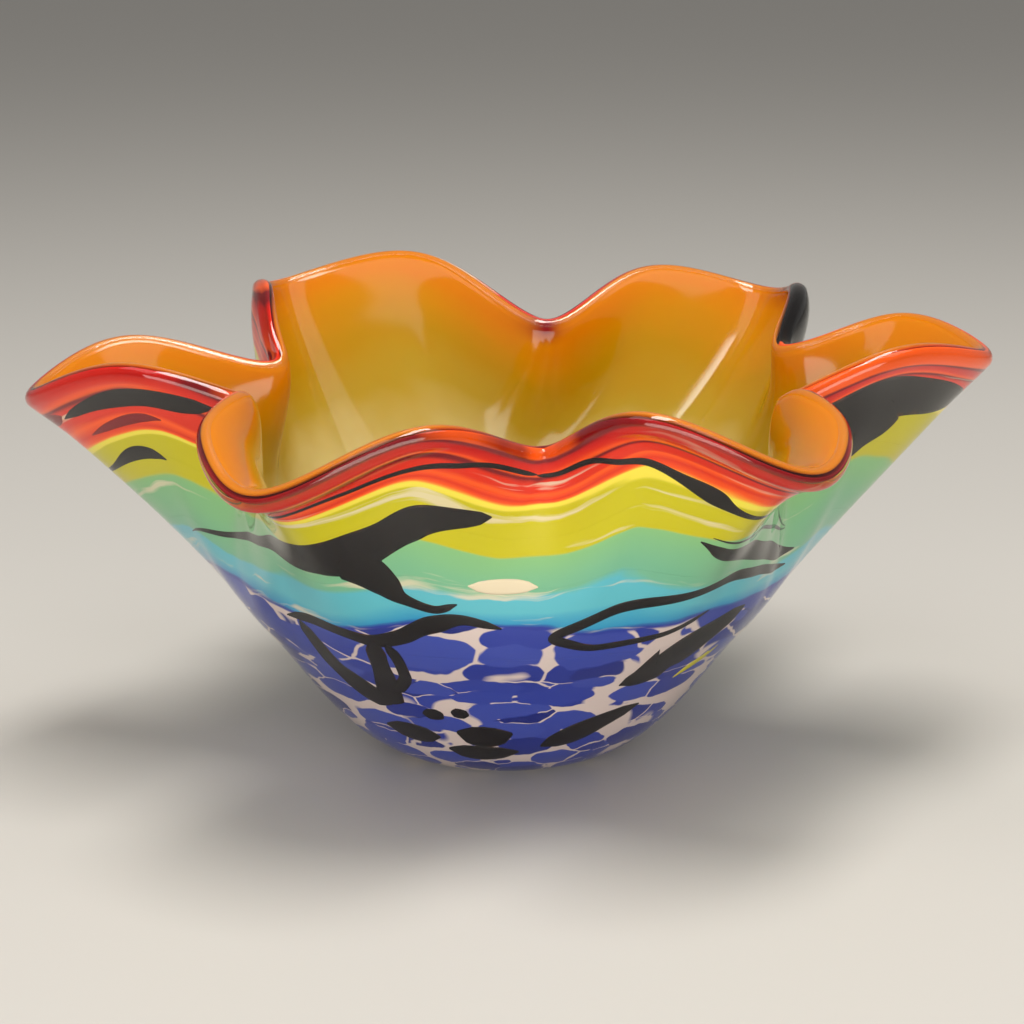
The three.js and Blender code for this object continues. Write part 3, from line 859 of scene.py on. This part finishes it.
@dataclass
class Trails:
    """All the trails, threads and shards.

    `height` is how far a crown stands over the chips and `layer` how much higher each later
    stroke of a trail stands, `root` how deep its edges reach into them, and `ripple` how much
    its width varies, in waves set by `wave_mm`. `steps` counts the points between two
    places and `end_steps` those that an end takes to round off. The wall is measured up to
    `measured_to`, and a trail is laid up to `laid_to`."""

    wall: Wall
    trails: tuple[Trail, ...]
    height: float = 0.35
    layer: float = 0.04
    root: float = 0.5
    ripple: float = 0.06
    wave_mm: tuple[float, float] = (5.3, 4.1)
    measured_to: float = 1.99
    laid_to: float = 1.995
    steps: int = 14
    end_steps: int = 6
    lanes: int = 11

    def stroke(self, places: np.ndarray, level: float) -> tuple[np.ndarray, list, np.ndarray]:
        """A low rounded ribbon along one stroke.

        Args:
            places: rows of turn, rise and half-width.
            level: millimetres that the crown stands over the chips.

        Returns:
            Points, faces, and how near each point is to the ribbon's edge.
        """
        count = (len(places) - 1) * self.steps + 1
        line = self.smooth(places, count)
        _, _, across, up = self.wall.frame_at(line[:, 0], np.clip(line[:, 1], 0, self.measured_to))
        scale = np.stack([np.linalg.norm(across, axis=1), np.linalg.norm(up, axis=1)], -1)
        flat = np.concatenate([[[0, 0]], np.cumsum(np.diff(line[:, :2], axis=0)
                                                   * (scale[1:] + scale[:-1]) / 2, axis=0)])
        along = np.gradient(flat, axis=0)
        along /= np.linalg.norm(along, axis=1, keepdims=True)
        side = np.stack([-along[:, 1], along[:, 0]], -1)
        end = np.minimum(np.arange(count), np.arange(count)[::-1])
        wave = (np.sin(flat[:, 0] / self.wave_mm[0] + places[0, 0])
                * np.cos(flat[:, 1] / self.wave_mm[1]))
        width = (line[:, 2] * np.sqrt(np.clip(end / self.end_steps, 0.04, 1))
                 * (1 + self.ripple * wave))

        slots = np.linspace(-1, 1, self.lanes)
        profile = [(s, level * math.sqrt(1 - s * s)) for s in slots]
        profile += [(1.0, -self.root), (-1.0, -self.root)]
        rows = []
        for s, crown in profile:
            shift = side * (width * s)[:, None] / scale
            rows.append(self.wall.at(line[:, 0] + shift[:, 0],
                                     np.clip(line[:, 1] + shift[:, 1], 0, self.laid_to),
                                     self.wall.casing + self.wall.gap - crown))
        loop, faces = np.arange(len(rows)), []
        for i in range(count - 1):
            a, b = i * len(rows) + loop, i * len(rows) + (loop + 1) % len(rows)
            faces += list(zip(a, a + len(rows), b + len(rows), b))
        faces += [tuple(loop), tuple(((count - 1) * len(rows) + loop)[::-1])]
        edge = np.tile(np.concatenate([np.abs(slots), [1, 1]]), count)
        return np.stack(rows, 1).reshape(-1, 3), faces, edge

    @staticmethod
    def smooth(places: np.ndarray, count: int) -> np.ndarray:
        """Smooth a list of places.

        Args:
            places: rows of turn, rise and half-width.
            count: how many places to return.

        Returns:
            Places on a Catmull-Rom curve through the given ones.
        """
        ends = np.vstack([2 * places[0] - places[1], places, 2 * places[-1] - places[-2]])
        u = np.linspace(0, len(places) - 1, count)
        i = np.minimum(u.astype(int), len(places) - 2)
        t = (u - i)[:, None]
        a, b, c, d = (ends[i + k] for k in range(4))
        curve = 0.5 * (2 * b + (c - a) * t + (2 * a - 5 * b + 4 * c - d) * t * t
                       + (3 * b - a - 3 * c + d) * t ** 3)
        curve[:, 2] = np.maximum(curve[:, 2], 0.35)
        return curve

    def build(self, finishes: dict[str, Material]) -> list[bpy.types.Object]:
        """Make every trail.

        Args:
            finishes: material of each slot.

        Returns:
            One object for each trail.
        """
        made = []
        for trail in self.trails:
            points, faces, edges, start = [], [], [], 0
            for k, places in enumerate(trail.strokes):
                ribbon, sides, edge = self.stroke(np.array(places, float),
                                                  self.height + self.layer * k)
                points.append(ribbon)
                faces += [tuple(int(v) + start for v in face) for face in sides]
                edges.append(edge)
                start += len(ribbon)
            points = np.concatenate(points)
            maps = {"side": np.concatenate(edges),
                    "sheet": np.hstack([points, np.ones((len(points), 1))])}
            made.append(mesh_piece(trail.node + "_glass", points, faces, finishes[trail.slot],
                                   trail.node, maps))
        return made


TRAILS = (
    Trail("tail_shard", "black_glass", (
        ((15.9, 1.33, 0.6), (17.2, 1.41, 1.1), (18.6, 1.435, 2.2), (19.3, 1.46, 4.6),
         (19.9, 1.5, 7.4), (20.4, 1.5, 8.8), (20.8, 1.53, 7.4), (21.2, 1.59, 5.4),
         (21.6, 1.65, 3.2), (21.85, 1.69, 1.4)),
        ((20.3, 1.48, 7.5), (20.55, 1.41, 6.4), (20.75, 1.35, 4.6), (20.95, 1.3, 2.6),
         (21.4, 1.275, 1.7), (21.7, 1.31, 1.0)),
    )),
    Trail("left_net_trail", "black_glass", (
        ((18.5, 1.17, 1.2), (19.2, 1.18, 2.4), (19.8, 1.16, 2.8), (20.3, 1.14, 3.2),
         (20.8, 1.16, 3.2), (21.1, 1.19, 3.2), (21.4, 1.22, 3.6), (21.8, 1.25, 2.0),
         (22.4, 1.22, 1.2)),
        ((20.3, 1.14, 3.4), (20.15, 1.02, 3.6), (20, 0.83, 4.4), (19.9, 0.73, 4.6)),
        ((20.5, 1.13, 2.0), (20.6, 1.05, 2.2), (20.5, 0.94, 2.2), (20.1, 0.82, 2.4)),
    )),
    Trail("left_drop_trail", "black_glass", (
        ((18.8, 1.16, 2.4), (18.9, 1.08, 3.4), (19.0, 0.95, 4.4), (19.35, 0.81, 5.4),
         (19.9, 0.73, 4.6)),
    )),
    Trail("right_hook_trail", "black_glass", (
        ((28.2, 1.28, 1.2), (27, 1.31, 2), (25.7, 1.32, 2.2), (24.6, 1.28, 2.2),
         (23.7, 1.22, 2.3), (23.25, 1.18, 2), (23.5, 1.145, 1.8), (24, 1.12, 1.6),
         (24.8, 1.14, 1.6), (25.3, 1.16, 1.4), (25.9, 1.21, 1.2)),
    )),
    Trail("right_leaf_shard", "black_glass", (
        ((27.1, 1.18, 2.4), (26.5, 1.12, 6.0), (25.9, 1.05, 8), (25.3, 0.94, 5),
         (24.9, 0.88, 1.4)),
    )),
    Trail("low_streak", "black_glass", (
        ((25.8, 0.7, 2), (25, 0.62, 4.4), (24.2, 0.53, 5.2), (23.5, 0.46, 2.6)),
    )),
    Trail("flank_shard", "black_glass", (
        ((24.7, 1.515, 1.4), (25.4, 1.46, 2.8), (26.2, 1.41, 3.6), (27.2, 1.375, 3.2),
         (28.3, 1.33, 1.4)),
        ((24.8, 1.54, 0.6), (26.3, 1.49, 0.7), (27.9, 1.44, 0.6)),
    )),
    Trail("right_rim_thread", "black_glass", (
        ((22.4, 1.92, 0.7), (23.0, 1.91, 0.9), (23.4, 1.9, 1), (23.7, 1.81, 1.1),
         (24.2, 1.74, 1.8), (24.55, 1.705, 3.4), (24.85, 1.67, 1.4), (25.6, 1.64, 0.8),
         (26.7, 1.55, 0.7), (27.9, 1.45, 0.6)),
    )),
    Trail("left_rim_thread", "black_glass", (
        ((17.4, 1.54, 0.5), (18.6, 1.66, 0.8), (19.6, 1.76, 1.0), (20.2, 1.84, 1.1),
         (20.6, 1.815, 1.2), (21, 1.81, 1.2), (21.35, 1.86, 1.2), (21.7, 1.93, 1),
         (22.4, 1.925, 0.7)),
    )),
    Trail("left_lobe_band", "black_glass", (
        ((15.3, 1.86, 1), (15.6, 1.87, 3), (16, 1.87, 4.4), (16.35, 1.89, 4), (16.7, 1.94, 1.6)),
    )),
    Trail("left_lobe_eye", "black_glass", (
        ((14.9, 1.6, 0.6), (15.3, 1.6, 1.2), (15.7, 1.615, 2.6), (16.1, 1.585, 1.2)),
    )),
    Trail("right_lobe_shard", "black_glass", (
        ((30.1, 1.82, 2.6), (29.6, 1.8, 7), (29.0, 1.78, 10.5), (28.5, 1.8, 9), (28.1, 1.86, 3)),
        ((29.15, 1.76, 10), (29.05, 1.68, 9), (28.9, 1.61, 5), (28.8, 1.57, 1.6)),
    )),
    Trail("left_lobe_garnet", "garnet_glass", (
        ((14.9, 1.87, 1.2), (15.15, 1.88, 3), (15.3, 1.88, 1.2)),
        ((15.4, 1.74, 1), (15.8, 1.75, 2), (16.2, 1.76, 1)),
    )),
    Trail("cream_spot", "cream_glass", (
        ((21.8, 1.39, 1), (22.1, 1.395, 2.6), (22.5, 1.395, 2.6), (22.85, 1.39, 1)),
    )),
    Trail("yellow_streak", "yellow_glass", (
        ((27.2, 1.03, 0.9), (26.85, 0.95, 2.2), (26.4, 0.85, 0.9)),
    )),
    Trail("foot_blot", "black_glass", (
        ((21.3, 0.57, 3.4), (22.0, 0.54, 6.4), (22.7, 0.57, 3.4)),
        ((20.6, 0.69, 2.4), (20.9, 0.69, 2.8), (21.1, 0.7, 2.2)),
        ((21.3, 0.72, 2.2), (21.5, 0.71, 2.6), (21.7, 0.7, 2.0)),
        ((19.3, 0.56, 3.0), (20.1, 0.53, 5), (20.8, 0.52, 3)),
        ((20.9, 0.43, 3), (21.8, 0.4, 5), (22.9, 0.42, 3)),
    )),
    Trail("back_shard", "black_glass", (
        ((6.4, 1.45, 1.2), (7, 1.47, 3.2), (7.6, 1.5, 5), (8.2, 1.52, 3.4), (8.8, 1.53, 1)),
        ((7.55, 1.49, 4.4), (7.6, 1.42, 3), (7.8, 1.36, 1.8), (8.2, 1.31, 1.2)),
    )),
    Trail("back_left_trail", "black_glass", (
        ((9.8, 1.18, 1), (10.6, 1.16, 2), (11.3, 1.14, 2.6), (12.1, 1.16, 2), (12.9, 1.21, 1)),
        ((11.3, 1.14, 2.4), (11.2, 1.0, 2), (10.9, 0.87, 1.4)),
    )),
    Trail("back_right_trail", "black_glass", (
        ((0.7, 1.2, 1), (1.7, 1.24, 1.5), (2.8, 1.24, 2), (3.9, 1.2, 2), (4.4, 1.15, 1.6)),
    )),
    Trail("back_rim_thread", "black_glass", (
        ((8.5, 1.87, 0.8), (8.9, 1.9, 1.2), (9.3, 1.9, 1.4), (9.7, 1.88, 1.1), (10, 1.86, 0.8)),
    )),
)


# ---- Studio ----
@dataclass(frozen=True)
class Studio:
    """A pale floor, two soft windows, a front bounce, an overhead softbox and the camera."""

    eye: tuple[float, float, float] = (0.00238, -0.95585, 0.30117)
    pitch: float = 77.0
    lens: float = 103.34
    lights: tuple[tuple[str, tuple[float, float, float], tuple[float, float], float, str], ...] = (
        ("window_left", (-0.75, -0.5, 1.5), (1.1, 0.8), 4.5, "FFFFFF"),
        ("window_right", (0.75, -0.35, 1.5), (0.9, 0.8), 3.5, "FFFFFF"),
        ("front_bounce", (0.0, -1.7, 0.4), (2.4, 0.8), 28.0, "FFFBF4"),
        ("overhead", (0.1, -0.05, 1.8), (1.2, 0.5), 26.0, "FFFDF8"))

    aim: tuple[float, float, float] = (0.0, 0.0, 0.08)
    floor_reach: float = 30.0
    sky_strength: float = 0.32
    sensor: float = 36.0

    def build(self) -> None:
        """Set up floor, lights, world, camera and view transform."""
        self.lay_floor()
        self.hang_lights()
        self.light_world()
        self.place_camera()
        bpy.context.scene.view_settings.view_transform = "Standard"

    def lay_floor(self) -> None:
        """Lay a square board at z = 0."""
        corners = [(x * self.floor_reach, y * self.floor_reach, 0)
                   for x, y in ((-1, -1), (1, -1), (1, 1), (-1, 1))]
        mesh = bpy.data.meshes.new("floor")
        mesh.from_pydata(corners, [], [(0, 1, 2, 3)])
        mesh.materials.append(self.floor_finish())
        floor = bpy.data.objects.new("floor", mesh)
        bpy.context.scene.collection.objects.link(floor)

    def hang_lights(self) -> None:
        """Hang each area light, turned toward the bowl."""
        for name, place, extent, power, colour in self.lights:
            lamp = bpy.data.lights.new(name, "AREA")
            lamp.shape, lamp.size, lamp.size_y = "RECTANGLE", extent[0], extent[1]
            lamp.energy, lamp.color = power, linear(colour)[:3]
            holder = bpy.data.objects.new(name, lamp)
            toward = Vector(self.aim) - Vector(place)
            holder.matrix_world = (Matrix.Translation(place)
                                   @ toward.to_track_quat("-Z", "Y").to_matrix().to_4x4())
            bpy.context.scene.collection.objects.link(holder)

    def light_world(self) -> None:
        """Give the room an even pale light."""
        world = bpy.data.worlds.new("studio")
        bpy.context.scene.world = world
        world.use_nodes = True
        tree = world.node_tree
        tree.nodes.clear()
        sky = add_node(tree, "Background", {"Color": linear("F4F2EE"),
                                                      "Strength": self.sky_strength})
        add_node(tree, "OutputWorld", links={"Surface": sky.outputs[0]})

    def place_camera(self) -> None:
        """Place the camera in front of the bowl, a little above its rim, looking down."""
        camera = bpy.data.objects.new("camera", bpy.data.cameras.new("camera"))
        camera.data.lens, camera.data.sensor_width = self.lens, self.sensor
        camera.location = self.eye
        camera.rotation_euler = (math.radians(self.pitch), 0, 0)
        bpy.context.scene.collection.objects.link(camera)
        bpy.context.scene.camera = camera

    @staticmethod
    def floor_finish() -> Material:
        """Matt painted board: gives the eye an even pale ground.

        Returns:
            The floor's material.
        """
        material, tree = empty_material("painted_board")
        place = add_node(tree, "TexCoord")
        grain = add_node(tree, "TexNoise", {"Scale": 900.0, "Detail": 2.0},
                         {"Vector": place.outputs["Object"]})
        bump = add_node(tree, "Bump", {"Strength": 0.05, "Distance": 0.0002},
                        {"Height": grain.outputs["Fac"]})
        paint = add_node(tree, "BsdfPrincipled", {"Base Color": linear("C4C0BA"),
                         "Roughness": 0.5}, {"Normal": bump.outputs["Normal"]})
        add_node(tree, "OutputMaterial", links={"Surface": paint.outputs[0]})
        return material


def main() -> None:
    """Build every piece in order, then the studio."""
    logging.basicConfig(level=logging.INFO, format="%(message)s")
    wall = Wall()
    shells = Shells(wall)
    shells.casing()
    shells.lining()
    shells.colour()
    finishes = {
        "black_glass": TrailGlass("black_trail_glass", Ink.BLACK, Ink.BROWN).build(),
        "garnet_glass": TrailGlass("garnet_rod_glass", Ink.GARNET, Ink.RED).build(),
        "cream_glass": TrailGlass("opal_cream_glass", Ink.OPAL_AND_HIGHLIGHT, Ink.CREAM).build(),
        "yellow_glass": TrailGlass("lemon_rod_glass", Ink.CHARTREUSE, Ink.LEMON).build()}
    Trails(wall, TRAILS).build(finishes)
    Studio().build()


if __name__ == "__main__":
    main()
